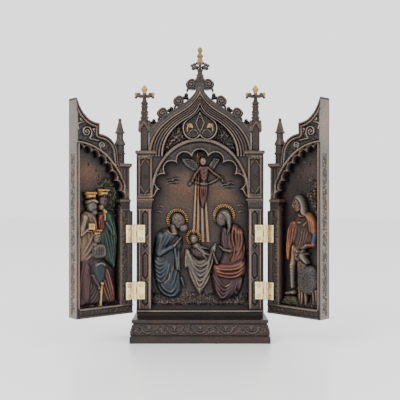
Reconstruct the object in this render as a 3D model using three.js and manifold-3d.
// Triptych altarpiece: a cast bronze-finished nativity in a Gothic frame, on a moulded plinth, with two
// wings on small brass butt hinges. Millimetres, +Z up, front towards -Y, underside at z = 0.
// The piece is drawn with the centre panel's front plane at y = 0; the last group moves it so that the
// origin is the middle of the plinth's underside.
import * as THREE from 'three';
import { mergeVertices } from 'three/addons/utils/BufferGeometryUtils.js';
import Module from 'manifold-3d';

const wasm = await Module();
wasm.setup();

// ---------------------------------------------------------------- driving dimensions
const GAP = 0.3; // air left between two pieces that touch
const SINK = 0.17; // how far the middle of a carved form lies behind the recess floor

const PLINTH = { halfWidth: 56, depth: 47, height: 18.5, front: -11 };
const PANEL = { halfWidth: 51.5, depth: 20, foot: PLINTH.height + GAP, rail: 23, gableFront: 1.6,
    gableBack: 16 };
const PIER = { outer: 49.5, inner: 39.7, foot: 27, capital: 106.7, ledge: 113.2, upper: 117.2, cap: 148.7,
    top: 154 };
const RECESS = { depth: 9, ground: 29.5 };
const ARCH = { a: 39.5, b: 46, spring: 116.6 };
const FOILS = { radius: 33.2, centreZ: 116, step: 22.35, lobes: 7, bulge: 6.7 };
const GABLE = { apex: 204.5, innerApex: 191.6, crown: 211 };
const PINNACLE = { x: 45.2, y: 4.6, half: 3.6, gable: 170, shaft: 177.5, cross: 196.4, tip: 207.6 };
const FINIAL = { y: 8.5, foot: 208, tip: 239.4 };
const WING = { near: 0.9, width: 52.2, thick: 12.5, foot: 23, apex: 193, recess: 8, railTop: 30.5 };
const WING_ARCH = { a: 50, b: 61, spring: 97.5 };
const WING_FOILS = { a: 43.5, b: 55.5, spring: 98.5, lobes: 8, bulge: 3.7 };
const HINGE = { x: 52.5, ahead: 1.6, heights: [86.9, 40.9], tall: 14, reach: 8.1, leaf: 0.9, barrel: 1.4,
    pin: 0.6 };
const KNUCKLES = 3;
const SCREW = { reach: 5.1, spread: 8.5, head: 1.7, shank: 0.65, length: 5 };
const REST_ANGLE = { left: 40, right: 45 };

const DEG = Math.PI / 180;

// ---------------------------------------------------------------- materials
const bronze = new THREE.MeshStandardMaterial({ color: 0x5a4a43, roughness: 0.5, metalness: 0.55 });
const brass = new THREE.MeshStandardMaterial({ color: 0xd9bd6a, roughness: 0.28, metalness: 1 });
const screwBrass = new THREE.MeshStandardMaterial({ color: 0xa08a4a, roughness: 0.4, metalness: 1 });

// ---------------------------------------------------------------- solids
function solid(geometry) {
  geometry.deleteAttribute('normal');
  geometry.deleteAttribute('uv');
  const merged = mergeVertices(geometry, 1e-4);
  return new wasm.Manifold(new wasm.Mesh({
    numProp: 3,
    vertProperties: Float32Array.from(merged.attributes.position.array),
    triVerts: Uint32Array.from(merged.index.array),
  }));
}

function union(parts) {
  return parts.reduce((whole, part) => whole.add(part));
}

function meshOf(name, body, material) {
  const made = body.getMesh();
  const geometry = new THREE.BufferGeometry();
  geometry.setAttribute('position', new THREE.BufferAttribute(made.vertProperties, 3));
  geometry.setIndex(new THREE.BufferAttribute(made.triVerts, 1));
  geometry.computeVertexNormals();
  const mesh = new THREE.Mesh(geometry, material);
  mesh.name = name;
  return mesh;
}

function box(x0, x1, y0, y1, z0, z1) {
  const geometry = new THREE.BoxGeometry(x1 - x0, y1 - y0, z1 - z0);
  geometry.translate((x0 + x1) / 2, (y0 + y1) / 2, (z0 + z1) / 2);
  return solid(geometry);
}

// A flat outline in x and z, carried from y0 back to y1.
function plate(points, y0, y1) {
  const shape = new THREE.Shape(points.map(([x, z]) => new THREE.Vector2(x, z)));
  const geometry = new THREE.ExtrudeGeometry(shape, { depth: y1 - y0, bevelEnabled: false });
  geometry.rotateX(Math.PI / 2);
  geometry.translate(0, y1, 0);
  return solid(geometry);
}

// A flat outline in y and z, carried from x0 to x1.
function sidePlate(points, x0, x1) {
  const shape = new THREE.Shape(points.map(([y, z]) => new THREE.Vector2(y, z)));
  const geometry = new THREE.ExtrudeGeometry(shape, { depth: x1 - x0, bevelEnabled: false });
  geometry.rotateX(Math.PI / 2);
  geometry.rotateZ(Math.PI / 2);
  geometry.translate(x0, 0, 0);
  return solid(geometry);
}

// A block whose moulding, a list of [projection, z], runs round its front and both sides.
function mouldedBlock(profile, x0, x1, front, back) {
  const left = profile.map(([out, z]) => [x0 - out, z]);
  const right = profile.map(([out, z]) => [x1 + out, z]).reverse();
  const ahead = profile.map(([out, z]) => [front - out, z]);
  const top = profile[profile.length - 1][1];
  const across = plate([...left, ...right], front - 20, back);
  const along = sidePlate([...ahead, [back, top], [back, profile[0][1]]], x0 - 20, x1 + 20);
  return across.intersect(along);
}

// A prism or cone standing on z0 with flat faces to the front; radii are half widths across flats.
function spike(x, y, z0, z1, bottom, top, sides = 4) {
  const flats = Math.cos(Math.PI / sides);
  const geometry = new THREE.CylinderGeometry(top / flats, bottom / flats, z1 - z0, sides, 1);
  geometry.rotateY(Math.PI / sides);
  geometry.rotateX(Math.PI / 2);
  geometry.translate(x, y, (z0 + z1) / 2);
  return solid(geometry);
}

// A turned form on a vertical axis; the profile is a list of [radius, z] from foot to tip.
function turned(profile, x, y, sides) {
  const geometry = new THREE.LatheGeometry(profile.map(([r, z]) => new THREE.Vector2(r, z)), sides);
  geometry.rotateX(Math.PI / 2);
  geometry.translate(x, y, 0);
  return solid(geometry);
}

// A turned button whose axis points to the front; the profile is a list of [radius, y] from back to front.
function button(profile, x, z, sides) {
  const geometry = new THREE.LatheGeometry(profile.map(([r, y]) => new THREE.Vector2(r, -y)), sides);
  geometry.rotateX(Math.PI);
  geometry.translate(x, 0, z);
  return solid(geometry);
}

function mirrored(body) {
  return body.mirror([1, 0, 0]);
}

function bothSides(body) {
  return body.add(mirrored(body));
}

// ---------------------------------------------------------------- curves
function steps(count) {
  return Array.from({ length: count + 1 }, (_, index) => index / count);
}

function bezier(points, count) {
  const [a, b, c, d] = points.map(([x, z]) => new THREE.Vector2(x, z));
  return new THREE.CubicBezierCurve(a, b, c, d).getPoints(count).map((point) => [point.x, point.y]);
}

// Quarter ellipse from the springing (x = -a) to the crown (x = 0).
function halfArch({ a, b, spring }, count, inset = 0) {
  return steps(count).map((t) => {
    const angle = (1 - t / 2) * Math.PI;
    return [(a - inset) * Math.cos(angle), spring + (b - inset) * Math.sin(angle)];
  });
}

function withMirror(leftToCentre) {
  const right = leftToCentre.slice(0, -1).map(([x, z]) => [-x, z]).reverse();
  return [...leftToCentre, ...right];
}

// An ogee edge from its foot on the left up to the apex: a swelling arc, then a hollow one.
function ogee(foot, shoulder, apex, slope, count) {
  const [fx, fz] = foot;
  const [sx, sz] = shoulder;
  const rise = (sz - fz) * 0.56;
  const run = (sx - fx) * 0.42;
  const lower = bezier([foot, [fx, fz + rise], [sx - run, sz - run * slope], shoulder], count);
  const reach = -sx * 0.55;
  const upper = bezier([shoulder, [sx + reach, sz + reach * slope],
      [sx * 0.12, apex - (apex - sz) * 0.42], [0, apex]], count);
  return [...lower, ...upper.slice(1)];
}

function between(outer, inner, t) {
  return outer.map(([x, z], index) => [x + (inner[index][0] - x) * t, z + (inner[index][1] - z) * t]);
}

// The strip between two matching edges, as one closed outline.
function ribbon(first, second) {
  return [...first, ...[...second].reverse()];
}

// ---------------------------------------------------------------- carved relief
// The carver's forms: each is a rounded body half sunk in the recess floor, which lies at y = floor.
// Places are [x, z] on the panel; height is how far the form stands out of the floor, and lift is how far
// its middle is raised, so that a thin fold can lie on a thick body.
function carver(floor) {
  const settle = (geometry, [x, z], lift) => {
    geometry.translate(x, floor + SINK - lift, z);
    return solid(geometry);
  };
  const dome = (place, halfWidth, halfHeight, height, tilt = 0) => {
    const geometry = new THREE.SphereGeometry(1, 6, 4);
    geometry.rotateX(Math.PI / 2);
    geometry.scale(halfWidth, height, halfHeight);
    geometry.rotateY(-tilt * DEG);
    return settle(geometry, place, 0);
  };
  const limb = (from, to, start, end, height, lift = 0) => {
    const dx = to[0] - from[0];
    const dz = to[1] - from[1];
    const length = Math.hypot(dx, dz);
    const profile = [[0, -start], [start, -start * 0.2], [end, length + end * 0.2], [0, length + end]];
    const geometry = new THREE.LatheGeometry(profile.map(([r, along]) => new THREE.Vector2(r, along)), 5);
    geometry.rotateX(Math.PI / 2);
    geometry.scale(1, (height - lift) / Math.max(start, end), 1);
    geometry.rotateY(Math.atan2(dx, dz));
    return settle(geometry, from, lift);
  };
  // A fan of narrow folds between a starting stroke and an ending stroke.
  const folds = ([from, fromEnd], [to, toEnd], count, width, height) => steps(count - 1).map((t) => limb(
    [from[0] + (fromEnd[0] - from[0]) * t, from[1] + (fromEnd[1] - from[1]) * t],
    [to[0] + (toEnd[0] - to[0]) * t, to[1] + (toEnd[1] - to[1]) * t],
    width * 0.7,
    width,
    height,
    height - width * 2.6,
  ));
  const disc = ([x, z], radius, height) => button(
    [[0, floor + 1], [radius, floor + 1], [radius * 0.96, floor - height], [0, floor - height]], x, z, 9);
  const crown = ([x, z], radius, height) => box(x - radius, x + radius, floor - height, floor + 1, z - 1.6,
      z + 2.2);
  return { dome, limb, folds, disc, crown };
}

// A head, with a beard below the chin where there is one.
function head({ dome }, [x, z], size, height, beard = 0) {
  const skull = dome([x, z], size * 0.86, size, height);
  return beard ? [skull, dome([x, z - size], size * 0.66, size * beard, height - 1)] : [skull];
}

// ---------------------------------------------------------------- plinth
function buildPlinth() {
  const { halfWidth, depth, height, front } = PLINTH;
  const profile = [[0, 0], [0, 5], [-1.2, 5.4], [-1.2, 6.3], [-0.5, 6.8], [-0.9, 9.5], [-2.2, 12.5],
      [-2.8, 15.6],
    [-1.6, 16.1], [-1.6, height]];
  const x1 = halfWidth;
  const y0 = front;
  const y1 = front + depth;
  const across = plate([...profile.map(([out, z]) => [-x1 - out, z]),
    ...profile.map(([out, z]) => [x1 + out, z]).reverse()], y0 - 1, y1 + 1);
  const along = sidePlate([...profile.map(([out, z]) => [y0 - out, z]),
    ...profile.map(([out, z]) => [y1 + out, z]).reverse()], -x1 - 1, x1 + 1);
  const block = across.intersect(along);
  const bays = 5;
  const bay = 20.9;
  const ornament = [];
  for (let index = 0; index < bays; index += 1) {
    const middle = (index - (bays - 1) / 2) * bay;
    const hang = steps(4).map((t) => (t - 0.5) * (bay - 5));
    const swag = (drop) => hang.map((x) => [middle + x, 13.4 - drop * Math.cos((x / (bay - 5)) * Math.PI)]);
    ornament.push(plate(ribbon(swag(5.2), swag(3.6)), y0 + 0.25, y0 + 5));
    ornament.push(spike(middle, y0 + 2.2, 11, 15, 1.2, 0.4, 4));
  }
  for (let index = 0; index <= bays; index += 1) {
    const x = (index - bays / 2) * bay;
    const side = Math.sign(x) * Math.max(0, Math.abs(x) - (x1 - 5));
    ornament.push(button([[0, y0 + 4], [2.1, y0 + 4], [2.1, y0 + 0.9], [0, y0 + 0.3]], x - side, 12.6, 6));
  }
  return block.add(union(ornament));
}

// ---------------------------------------------------------------- centre panel: architecture
const hoodOuter = ogee([-41.9, PIER.top - 4.6], [-13.5, 187.5], GABLE.apex, 0.62, 7);
const hoodInner = ogee([-29.8, PIER.top - 4.6], [-9.6, 180.3], GABLE.innerApex, 0.56, 7);

function hood() {
  const reeds = [[0.05, 0.45, 0.2], [0.55, 0.98, -0.6]];
  return union(reeds.map(([from, to, front]) => plate(
    ribbon(withMirror(between(hoodOuter, hoodInner, from)), withMirror(between(hoodOuter, hoodInner, to))),
    front,
    PANEL.gableFront + 3,
  )));
}

function gableOutline() {
  const edge = between(hoodOuter, hoodInner, -0.55).filter(([, z]) => z > PIER.top + 20);
  const top = edge.filter(([x]) => x < -3.4);
  return withMirror([[-41.6, PIER.top - 1], [-41.6, edge[0][1]], ...top, [-3.4, GABLE.crown],
      [0, GABLE.crown]]);
}

function scroll(x, z, radius) {
  const back = PANEL.gableBack - 3;
  const rim = radius * 0.62;
  return button([[0, back], [radius, back - 1.5], [radius, 3], [rim, 1.4], [rim * 0.7, 2.6], [0, 1.2]], x,
      z, 7);
}

function crockets() {
  const places = [[-7.0, 208.4, 4.2], [-17.2, 194.2, 4.4], [-30.4, 184.4, 4.4]];
  const buds = [[-10.9, 197.6, 3.2], [-23.4, 188.2, 3], [-38, 178.2, 2.6]];
  const parts = places.map(([x, z, radius]) => scroll(x, z, radius));
  parts.push(...buds.map(([x, z, radius]) => turned(
    [[0, z - radius], [radius * 0.9, z - radius * 0.4], [radius * 0.9, z + radius * 0.4], [0, z + radius]],
        x, 6, 5)));
  return bothSides(union(parts));
}

function finial() {
  const { y, foot, tip } = FINIAL;
  const stem = turned([[0, foot], [6.2, foot], [5.8, 211.2], [2.9, 215.6], [3.1, 216.6], [2.1, 217.4],
      [2.6, 226.6],
    [1.8, 229.6], [2.6, 232.2], [1.3, 234.8], [2, 237], [0, tip]], 0, y, 8);
  const leaf = (reach) => [[0, 219.6], [reach * 0.6, 220.8], [reach * 0.96, 221.2], [reach, 223.4],
      [reach * 0.86, 226],
    [reach * 0.6, 225.2], [reach * 0.4, 227.2], [0, 226.6]];
  const across = bothSides(plate(leaf(8), y - 1.5, y + 1.5));
  const fore = plate(leaf(5.6), -1.5, 1.5).rotate([0, 0, 90]);
  const both = fore.add(fore.mirror([0, 1, 0])).translate([0, y, 0]);
  return union([stem, across, both]);
}

function pinnacle() {
  const { x, y, half, gable, shaft, cross, tip } = PINNACLE;
  const foot = PIER.top - 1;
  const lower = spike(-x, y, foot, gable + 3, half, half);
  const ridge = (reach) => [[-reach, gable], [reach, gable], [0, shaft + 1.2]];
  const front = plate(ridge(half + 1.1).map(([u, z]) => [u - x, z]), y - half - 0.7, y + half + 0.7);
  const side = sidePlate(ridge(half + 1.1).map(([u, z]) => [u + y, z]), -x - half - 0.7, -x + half + 0.7);
  const upper = spike(-x, y, gable + 4, 191.6, half - 0.3, 2.3);
  const collar = spike(-x, y, 191.4, 193.8, 2.9, 2.9);
  const stem = spike(-x, y, 193.6, 201, 1.9, 1.5);
  const arm = [[0.9, cross + 1.4], [5.6, cross], [8.3, cross + 1.5], [8.3, cross + 3.6], [6.6, cross + 5.2],
      [1.2, cross + 4.4]];
  const arms = plate([...arm.map(([u, z]) => [u - x, z]), ...arm.map(([u, z]) => [-u - x, z]).reverse()],
      y - 1.4, y + 1.4);
  const crown = spike(-x, y, 200.8, 204.9, 1.5, 2.7);
  const tipCone = spike(-x, y, 204.7, tip, 2.4, 0.7);
  return union([lower, front, side, upper, collar, stem, arms, crown, tipCone]);
}

// A sunk pier panel with pointed ends.
function lancet(x, half, z0, z1, point, depth) {
  return plate([[x - half, z0 + point], [x, z0], [x + half, z0 + point], [x + half, z1 - point], [x, z1],
      [x - half, z1 - point]],
    -3, depth);
}

function pierTrim() {
  const { outer, inner, capital, ledge, upper, cap, top } = PIER;
  const back = PANEL.depth;
  const capBlock = mouldedBlock([[-0.6, cap], [0.1, cap + 0.5], [0.3, cap + 1.5], [1.8, cap + 3.2],
      [1.8, top]], -50.6, -37.8, 0.6, back);
  const upperPier = box(-50.2, -38.5, 0.1, 12, upper - 1, cap + 1);
  const ledgeBlock = mouldedBlock([[0, ledge], [1, ledge + 0.5], [1, ledge + 1.6], [0.4, ledge + 2.1],
      [-0.3, upper]], -50.4, -38.7, 0.2, back);
  const bell = mouldedBlock([[-0.6, capital - 1.6], [0.3, capital - 0.8], [-0.2, capital + 0.2],
      [0.3, capital + 3.2],
    [0.9, ledge + 0.2]], -outer, -inner + 0.2, 0.25, back);
  return bothSides(union([capBlock, upperPier, ledgeBlock, bell]));
}

function pierSinkings() {
  const middle = -(PIER.outer + PIER.inner) / 2 - 0.1;
  const cuts = [
    lancet(-44.35, 3.9, 119, 147.2, 4.6, 1.1),
    lancet(middle, 2.7, 83.9, 105.7, 3, 0.9),
    lancet(middle, 2.3, 74.2, 79.9, 2.4, 0.9),
    lancet(middle, 2.7, 49.6, 72.2, 3, 0.9),
    lancet(middle, 2.7, 27.8, 49.3, 3, 0.9),
  ];
  return bothSides(union(cuts));
}

function foilEdge(perLobe) {
  const { radius, centreZ, step, lobes, bulge } = FOILS;
  const first = 90 + (lobes * step) / 2;
  const points = [];
  for (let lobe = 0; lobe < lobes; lobe += 1) {
    const middle = (first - (lobe + 0.5) * step) * DEG;
    const reach = radius * Math.sin((step / 2) * DEG);
    const hub = radius * Math.cos((step / 2) * DEG);
    steps(perLobe).forEach((t) => {
      const turn = (1 - t) * Math.PI;
      const side = reach * Math.cos(turn);
      const out = hub + bulge * Math.sin(turn);
      points.push([side * Math.sin(middle) + out * Math.cos(middle),
          centreZ + side * -Math.cos(middle) + out * Math.sin(middle)]);
    });
  }
  return points.filter(([x, z], index) => index === 0 || Math.hypot(x - points[index - 1][0],
      z - points[index - 1][1]) > 1e-3);
}

function opening() {
  return [[-PIER.inner, 24.5], [PIER.inner, 24.5],
      ...withMirror([[-PIER.inner, ARCH.spring], ...halfArch(ARCH, 10, -0.2)]).reverse()];
}

function archPlate() {
  const foil = foilEdge(4);
  const left = [[-PIER.inner - 0.6, ARCH.spring - 1], [-PIER.inner + 2.4, ARCH.spring + 0.8],
      [foil[0][0] - 2.2, foil[0][1] - 0.6]];
  const right = left.map(([x, z]) => [-x, z]).reverse();
  const under = [...left, ...foil, ...right];
  const over = withMirror([[-PIER.inner - 0.6, ARCH.spring], ...halfArch(ARCH, 10, -0.8)]);
  const web = plate(ribbon(under, over), 2, RECESS.depth + 0.6);
  const roll = plate(ribbon(withMirror(halfArch(ARCH, 10, 2.3)), withMirror(halfArch(ARCH, 10, -0.9))),
      0.35, 5);
  return web.add(roll);
}

function tympanum() {
  const below = withMirror(halfArch({ a: ARCH.a + 0.5, b: ARCH.b, spring: ARCH.spring + 0.6 },
      12).filter(([x]) => x > -31));
  return plate(ribbon(withMirror(hoodInner), below), -4, PANEL.gableFront + 2.6);
}

function cartouche() {
  const deep = PANEL.gableFront + 3.2;
  const left = bezier([[0, 189.8], [-4.6, 180.6], [-15.6, 180.8], [-14.2, 171]], 6);
  const lobe = bezier([[-14.2, 171], [-13, 162], [-3.6, 160.4], [0, 166.2]], 6).slice(1);
  const outer = [...left, ...lobe];
  const shrink = (k) => outer.map(([x, z]) => [x * k, 174 + (z - 174) * k]);
  const loop = (edge) => [...edge, ...edge.slice(1, -1).map(([x, z]) => [-x, z]).reverse()];
  const shield = plate(loop(outer), 1.1, deep);
  const sunk = plate(loop(shrink(0.84)), -2, 2.2);
  const leaf = plate([[0, 167.8], [-3, 174.6], [0, 184.4], [3, 174.6]], 1.1, deep);
  const side = bothSides(plate([[-2.6, 168.6], [-6.2, 173.6], [-10.4, 173.2], [-11, 169.8], [-8.4, 170.6],
      [-7, 166.8]], 1.3, deep));
  return union([shield.subtract(sunk), leaf, side]);
}

// ---------------------------------------------------------------- centre panel: nativity relief
function joseph(carve) {
  const { dome, limb, folds, disc } = carve;
  const neck = [-22.4, 87];
  const shoulder = [-29, 85];
  const elbow = [-31.2, 69.4];
  const hands = [-17.6, 79.6];
  const hip = [-27.4, 58];
  return [disc([-18.8, 97.8], 9, 1.6), ...head(carve, [-17.4, 96.4], 5.7, 7.4, 0.7),
      limb(neck, hip, 7.4, 10.4, 5.4),
    limb(shoulder, elbow, 5.2, 4.6, 7), limb(elbow, hands, 4.2, 2.6, 7.8), dome(hip, 11.2, 14, 5.8),
    dome([-26, 42], 11.6, 12.6, 5.4), limb([-19.6, 74], [-18.4, 50], 3, 3.4, 6.2),
    ...folds([[-37, 64], [-36, 52]], [[-25, 56], [-20, 37]], 3, 1.6, 6.6)];
}

function child(carve) {
  const { dome, limb, folds, disc } = carve;
  const near = [-10.8, 70];
  const far = [12, 75.6];
  const tip = [-0.7, 38];
  return [disc([-5.6, 83.2], 6.6, 2.2), ...head(carve, [-4.8, 81.8], 3.7, 6.4),
      limb([-3, 77], [5, 69.6], 4.4, 3.6, 7),
    limb(near, far, 3.2, 3.2, 5.8), limb(near, tip, 3.2, 2, 4.8), limb(far, tip, 3.4, 2, 4.8),
        dome([0.6, 61], 10.6, 17, 5.2),
    ...folds([near, far], [[-0.6, 56], [0.4, 56]], 2, 1.3, 5.8)];
}

function mary(carve) {
  const { dome, limb, folds, disc } = carve;
  const shoulder = [30, 88];
  const elbow = [28.6, 73];
  const hand = [15, 77];
  return [disc([19.6, 101.3], 9.4, 1.6), ...head(carve, [19.8, 100.2], 6, 7.4),
      limb([22.6, 95], [23, 84], 3.6, 3.2, 7.2),
    limb([27, 84], [29, 62], 8.4, 9.6, 5.6), limb(shoulder, elbow, 5.2, 4.4, 6.8),
        limb(elbow, hand, 3.2, 1.8, 7.6),
    limb([28, 93], [25, 63], 2.6, 2.2, 7.6, 3), dome([24, 55], 13.8, 11, 6.4),
        dome([25, 40], 12.4, 13, 5.6),
    limb([14, 33], [33, 34], 3.6, 4, 4.6),
    ...folds([[12.5, 57], [14, 50]], [[34, 59], [34, 53]], 2, 1.5, 7),
        ...folds([[14, 47], [30, 48]], [[16, 33], [33, 34]], 3, 1.6, 6.4)];
}

function angel(carve) {
  const { limb } = carve;
  const chest = [3.2, 139.6];
  const leftHand = [-5.6, 130.4];
  const rightHand = [16.4, 132.4];
  const wings = [[[0.6, 143], [-14, 147]],
      [[5.6, 143], [15.8, 147]]].map(([root, tip]) => limb(root, tip, 2.8, 1.6, 2.4));
  return [...head(carve, [2.6, 145.2], 3.1, 4.8), limb(chest, [3.4, 129], 3.6, 3, 4.4),
      limb([4, 128], [2.4, 111], 4.2, 2, 3.6),
    ...wings, limb([-0.4, 140], leftHand, 1.8, 1.4, 3.6), limb([6.8, 140], rightHand, 1.8, 1.4, 3.6),
    limb(leftHand, [4, 126.8], 1.4, 1.6, 4), limb([4, 126.8], rightHand, 1.6, 1.4, 4)];
}

function nativity() {
  const carve = carver(RECESS.depth);
  const clouds = [[-21.8, 129.8], [23.2, 126.2]].map((place) => carve.dome(place, 6, 2.4, 1.8));
  const ground = sidePlate([[RECESS.depth + 1, 24], [5.6, 24], [5.6, 29.8], [RECESS.depth + 0.4, 38],
      [RECESS.depth + 1, 38]],
    -PIER.inner - 0.4, PIER.inner + 0.4);
  const within = box(-PIER.inner - 0.4, PIER.inner + 0.4, 0.4, RECESS.depth + 1.6, 24, 152);
  return union([...joseph(carve), ...child(carve), ...mary(carve), ...angel(carve), ...clouds,
      ground]).intersect(within);
}

// ---------------------------------------------------------------- centre panel
function buildCentrePanel() {
  const { halfWidth, depth, foot, rail, gableFront, gableBack } = PANEL;
  const block = box(-halfWidth, halfWidth, 1.4, depth, rail, PIER.cap + 1);
  const base = box(-halfWidth + 0.4, halfWidth - 0.4, 2.6, depth - 0.4, foot, rail + 1);
  const fronts = bothSides(box(-PIER.outer, -PIER.inner, 0, 4, PIER.foot - 1, PIER.capital));
  const railFront = mouldedBlock([[0, rail], [0.8, rail + 0.5], [0.8, rail + 1.6], [0.1, rail + 2.4],
      [0, PIER.foot]],
    -halfWidth + 0.2, halfWidth - 0.2, 0.2, depth);
  const spandrel = box(-38.8, 38.8, 1.2, depth, 130, PIER.top);
  const gable = plate(gableOutline(), gableFront, gableBack);
  const body = union([block, base, fronts, railFront, spandrel, gable, hood()]);
  const carved = body.subtract(tympanum()).subtract(plate(opening(), -3, RECESS.depth));
  const dressed = union([carved, archPlate(), cartouche(), pierTrim(), crockets(), finial(),
      bothSides(pinnacle())]);
  return dressed.subtract(pierSinkings()).add(nativity());
}

// ---------------------------------------------------------------- wings, drawn as the left one lying flat:
// u runs out from the pin, w back from the wing's front face, so x = -u and y = w.
function wingHood(from, to, count) {
  const lower = [[15.2, 152], [16.4, 158.6], [21.4, 165], [31.6, 165.9]];
  const upper = [[31.4, 174.2], [42.5, 174.4], [48.2, 181.5], [WING.width, WING.apex]];
  const low = bezier(lower, count).map(([u, z]) => [-(u + from * 0.75), z - from]);
  const lowInner = bezier(lower, count).map(([u, z]) => [-(u + to * 0.75), z - to]);
  const high = bezier(upper, count).map(([u, z]) => [-Math.min(u + from * 0.35, WING.width),
      z - from * 1.05]);
  const highInner = bezier(upper, count).map(([u, z]) => [-Math.min(u + to * 0.35, WING.width),
      z - to * 1.05]);
  return [ribbon(low, lowInner), ribbon(high, highInner)];
}

function wingOutline() {
  const { near, width, foot, apex } = WING;
  const low = bezier([[15.2, 152], [16.4, 158.6], [21.4, 165], [31.6, 165.9]], 7);
  const high = bezier([[31.4, 174.2], [42.5, 174.4], [48.2, 181.5], [width, apex]], 9);
  return [[near, foot], [near, 105], [3.5, 105.4], [3.5, 142], [14, 142], ...low, ...high,
      [width, foot]].map(([u, z]) => [-u, z]);
}

function wingFoilEdge(perLobe) {
  const { a, b, spring, lobes, bulge } = WING_FOILS;
  const first = 165;
  const stepAngle = (first - 90) / lobes;
  const at = (angle) => new THREE.Vector2(-HINGE.x - a * Math.cos(angle * DEG),
      spring + b * Math.sin(angle * DEG));
  const points = [];
  for (let lobe = 0; lobe < lobes; lobe += 1) {
    const from = at(first - lobe * stepAngle);
    const to = at(first - (lobe + 1) * stepAngle);
    const chord = to.clone().sub(from);
    const middle = from.clone().add(to).multiplyScalar(0.5);
    const out = new THREE.Vector2(-chord.y, chord.x).normalize().multiplyScalar(-bulge);
    steps(perLobe).slice(lobe ? 1 : 0).forEach((t) => {
      const turn = (1 - t) * Math.PI;
      const point = middle.clone().addScaledVector(chord, Math.cos(turn) / 2).addScaledVector(out,
          Math.sin(turn));
      points.push([point.x, point.y]);
    });
  }
  return points;
}

function wingArchEdge(inset) {
  const { a, b, spring } = WING_ARCH;
  return steps(9).map((t) => {
    const angle = (155 - 65 * t) * DEG;
    return [-HINGE.x - (a - inset) * Math.cos(angle), spring + (b - inset) * Math.sin(angle)];
  });
}

function wingPinnacle() {
  const x = -10.6;
  const y = 4.2;
  const parts = [spike(x, y, 142, 151.2, 2.9, 2.9), spike(x, y, 150.4, 152, 3.4, 3.4),
      spike(x, y, 151.8, 161, 3, 2.8),
    plate([[x - 3.9, 158.4], [x + 3.9, 158.4], [x, 165.4]], y - 3.5, y + 3.5),
        spike(x, y, 160, 167.4, 2.5, 2.3),
    spike(x, y, 167.2, 168.8, 3.5, 3.5), spike(x, y, 168.6, 177.4, 2.9, 0.9),
        spike(x, y, 177, 179.6, 1.3, 0.8, 6)];
  return union(parts);
}

function buildWingBlank() {
  const { near, width, thick, foot, recess, railTop } = WING;
  const slab = plate(wingOutline(), 0, thick);
  const foil = wingFoilEdge(4).filter(([x]) => x > -49.6);
  const edge = foil[foil.length - 1];
  const hollow = [[-49.6, railTop], [-49.6, edge[1]], ...[...foil].reverse(), [-12.4, foil[0][1] - 1],
      [-12.4, railTop]];
  const arch = plate(ribbon(wingArchEdge(0.6),
      wingArchEdge(-0.6)).map(([x, z]) => [Math.max(x, -width), z]), -0.6, 2);
  const moulds = [[0.3, 1.9, -0.4], [2.4, 4.2, -0.8]].flatMap(([from, to, front]) => wingHood(from, to, 8)
    .map((outline) => plate(outline, front, 2)));
  const cap = mouldedBlock([[0, 139.4], [0.3, 140.2], [1.2, 141.2], [1.2, 143.4]], -12.6, -3.5, 0.1, thick);
  const capital = mouldedBlock([[0, 105.6], [0.4, 106.4], [0, 107.2], [0.3, 111], [1, 112.6], [1, 114],
      [0.2, 115.2]],
    -12.4, -4.4, 0, thick);
  const border = box(-width, -near, -0.4, 2, foot, foot + 1.4);
  const railEdge = box(-width, -12.4, -0.4, 2, railTop - 1.4, railTop - 0.2);
  return union([slab.subtract(plate(hollow, -3, recess)), arch, ...moulds, cap, capital, wingPinnacle(),
      border, railEdge]);
}

function kings(carve) {
  const { dome, limb, folds, crown } = carve;
  const elder = [-36.6, 110];
  const dark = [-25.4, 112.4];
  const kneeling = [-33.2, 83.4];
  return [limb([-40, 101], [-42, 36], 6.8, 6.2, 4.8), limb([-28, 102], [-26, 60], 6.4, 8, 4),
      limb([-19.6, 103], [-18, 62], 5.4, 6.2, 4.8),
    ...head(carve, elder, 5.2, 6, 0.8), crown([-37.4, 117.6], 4.6, 6), ...head(carve, dark, 5, 5.2, 0.6),
        crown([-26.2, 119.6], 4.4, 5.2),
    dome([-38.6, 92.8], 4.2, 3.2, 7), limb([-25.2, 104], [-26.6, 93], 2, 2.8, 6),
    ...head(carve, kneeling, 5, 7.2, 0.6), crown([-33.2, 89.4], 4.4, 7),
        limb([-34, 78], [-34, 69], 6.4, 8, 7.2),
    dome([-32, 58], 9.8, 13, 7), limb([-42, 65], [-44, 36], 4.4, 4.4, 6),
        limb([-37, 50], [-38, 34], 5.6, 5, 5.6),
    limb([-24, 56], [-18, 35], 5.6, 4.6, 5.4), limb([-31, 47], [-31, 33], 1.4, 2, 7.6, 4),
    ...folds([[-42, 98], [-18, 98]], [[-43.4, 70], [-17, 66]], 2, 1.4, 5.8),
        ...folds([[-40, 60], [-27, 60]], [[-43, 36], [-21, 36]], 3, 1.6, 7)];
}

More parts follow.
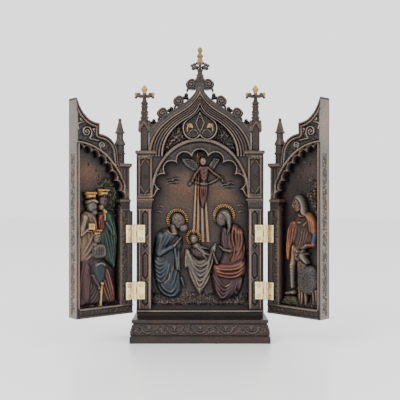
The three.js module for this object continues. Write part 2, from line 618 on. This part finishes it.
function shepherd(carve) {
  const { dome, limb, folds } = carve;
  const shoulder = [-37.6, 97];
  const elbow = [-42, 85];
  const hand = [-34.4, 76.4];
  const knee = [-22, 64];
  const foot = [-22.4, 42];
  return [...head(carve, [-28.6, 109.8], 6.4, 6.6), limb([-33, 103], [-31.4, 84], 7, 8, 5.4),
      limb(shoulder, elbow, 5.2, 4.2, 6.6),
    limb(elbow, hand, 3.8, 2.4, 7), limb([-37, 96], [-29.6, 95], 3.6, 2.4, 6.8),
        limb([-22.8, 94], [-20, 68], 3.6, 3.2, 6),
    limb([-31, 80], [-28, 67], 8.2, 6, 5.2), limb([-24, 76], knee, 3.6, 3, 5.2),
        limb(knee, foot, 3, 1.8, 5.2),
    limb([-22.4, 41.2], [-17, 39.8], 2, 1.6, 5.4), limb([-29.6, 93], [-28, 40], 1, 1, 3.6),
    ...folds([[-35, 84], [-28, 84]], [[-33, 66], [-25, 67]], 2, 1.4, 6.4),
    dome([-32.4, 69.2], 4, 4.2, 7.2, 30), limb([-33, 68.6], [-37.2, 65.4], 2.8, 1.7, 7.4),
        dome([-36.6, 52.4], 9.6, 10.4, 7),
    ...[[-32.6, 33], [-40, 33]].map(([x, z]) => limb([x - 0.6, 44], [x, z], 2, 1.5, 5)),
        dome([-18.4, 30], 7.4, 9, 5.4)];
}

function buildWing(figures) {
  const { recess, railTop } = WING;
  const carve = carver(recess);
  const ground = sidePlate([[recess + 1, railTop - 2], [4.6, railTop - 2], [4.6, railTop + 0.6],
      [recess + 0.4, railTop + 7], [recess + 1, railTop + 7]],
    -50.2, -11.8);
  const within = box(-50.2, -11.8, 0.4, recess + 1.3, railTop - 2, 130);
  return buildWingBlank().add(union([ground, ...figures(carve)]).intersect(within));
}

// ---------------------------------------------------------------- hinges
// Drawn about the pin at the origin: the leaf runs along -x, and its plate lies behind the pin.
function knuckle(z0, z1) {
  return spike(0, 0, z0, z1, HINGE.barrel, HINGE.barrel, 8);
}

function buildLeaf(odd) {
  const { ahead, tall, reach, leaf, barrel, pin } = HINGE;
  const plateBack = ahead - GAP;
  const plateFront = plateBack - leaf;
  const clear = barrel + GAP + 0.05;
  const pitch = tall / KNUCKLES;
  const parts = [box(-reach, -clear, plateFront, plateBack, -tall / 2, tall / 2)];
  for (let index = 0; index < KNUCKLES; index += 1) {
    if ((index % 2 === 0) === odd) {
      const z0 = -tall / 2 + index * pitch + (index ? GAP / 2 : 0);
      const z1 = -tall / 2 + (index + 1) * pitch - (index < KNUCKLES - 1 ? GAP / 2 : 0);
      parts.push(knuckle(z0, z1), box(-clear - 0.4, -0.4, plateFront, plateBack - 0.02, z0, z1));
    }
  }
  const bore = spike(0, 0, -tall, tall, pin + GAP, pin + GAP, 6);
  const sinks = [-1, 1].map((side) => screwHole(side));
  return union(parts).subtract(union([bore, ...sinks]));
}

function screwAxis(side) {
  return { x: -SCREW.reach, z: (side * SCREW.spread) / 2 };
}

function screwHole(side) {
  const { x, z } = screwAxis(side);
  const { head } = SCREW;
  const front = HINGE.ahead - GAP - HINGE.leaf;
  return button([[0, front + 3], [head + GAP, front + 3], [head + GAP, front - 1], [0, front - 1]], x, z,
      6);
}

function buildScrew(side) {
  const { x, z } = screwAxis(side);
  const { head, shank, length } = SCREW;
  const front = HINGE.ahead - GAP - HINGE.leaf;
  return button([[0, front + length], [shank, front + length - 1.4], [shank, front + 0.62],
      [head, front - 0.08],
    [0, front - 0.2]], x, z, 6);
}

function pilotHoles() {
  const holes = HINGE.heights.flatMap((height) => [-1, 1].map((side) => {
    const { x, z } = screwAxis(side);
    const deep = SCREW.length - HINGE.ahead + 1.1;
    return button([[0, deep], [SCREW.shank + GAP, deep], [SCREW.shank + GAP, -2], [0, -2]], x, z + height,
        6);
  }));
  return union(holes);
}

function buildPin() {
  const half = HINGE.tall / 2;
  const { pin } = HINGE;
  return turned([[0, -half - 0.35], [pin, -half - 0.2], [pin, half + 0.2], [0, half + 0.35]], 0, 0, 8);
}

// ---------------------------------------------------------------- the scene graph
const altarpiece = new THREE.Group();
altarpiece.position.y = -(PLINTH.front + PLINTH.depth / 2);

altarpiece.add(meshOf('plinth', buildPlinth(), bronze));
const panelHoles = bothSides(mirrored(pilotHoles()).translate([-HINGE.x, 0, 0]));
altarpiece.add(meshOf('centre_panel', buildCentrePanel().subtract(panelHoles), bronze));

function addHinge(parent, label, side, height, onWing) {
  const towards = onWing ? 1 : -1;
  const turn = side * towards;
  const leaf = turn > 0 ? buildLeaf(!onWing) : mirrored(buildLeaf(!onWing));
  const leafMesh = meshOf(`${label}_${onWing ? 'wing' : 'panel'}_leaf`, leaf, brass);
  leafMesh.position.z = height;
  parent.add(leafMesh);
  [-1, 1].forEach((place) => {
    const screw = turn > 0 ? buildScrew(place) : mirrored(buildScrew(place));
    const mesh = meshOf(`${label}_${onWing ? 'wing' : 'panel'}_screw_${place > 0 ? 'upper' : 'lower'}`,
        screw, screwBrass);
    mesh.position.z = height;
    parent.add(mesh);
  });
}

[['left', 1, kings], ['right', -1, shepherd]].forEach(([name, side, figures]) => {
  const hingeLine = new THREE.Group();
  hingeLine.position.set(-side * HINGE.x, -HINGE.ahead, 0);
  const swing = new THREE.Group();
  swing.rotation.z = side * REST_ANGLE[name] * DEG;
  const flat = buildWing(figures).subtract(pilotHoles()).translate([0, HINGE.ahead, 0]);
  swing.add(meshOf(`${name}_wing`, side > 0 ? flat : mirrored(flat), bronze));
  HINGE.heights.forEach((height, index) => {
    const label = `${name}_${index ? 'lower' : 'upper'}_hinge`;
    addHinge(swing, label, side, height, true);
    addHinge(hingeLine, label, side, height, false);
    const pin = meshOf(`${label}_pin`, buildPin(), brass);
    pin.position.z = height;
    hingeLine.add(pin);
  });
  hingeLine.add(swing);
  altarpiece.add(hingeLine);
});

export default altarpiece;
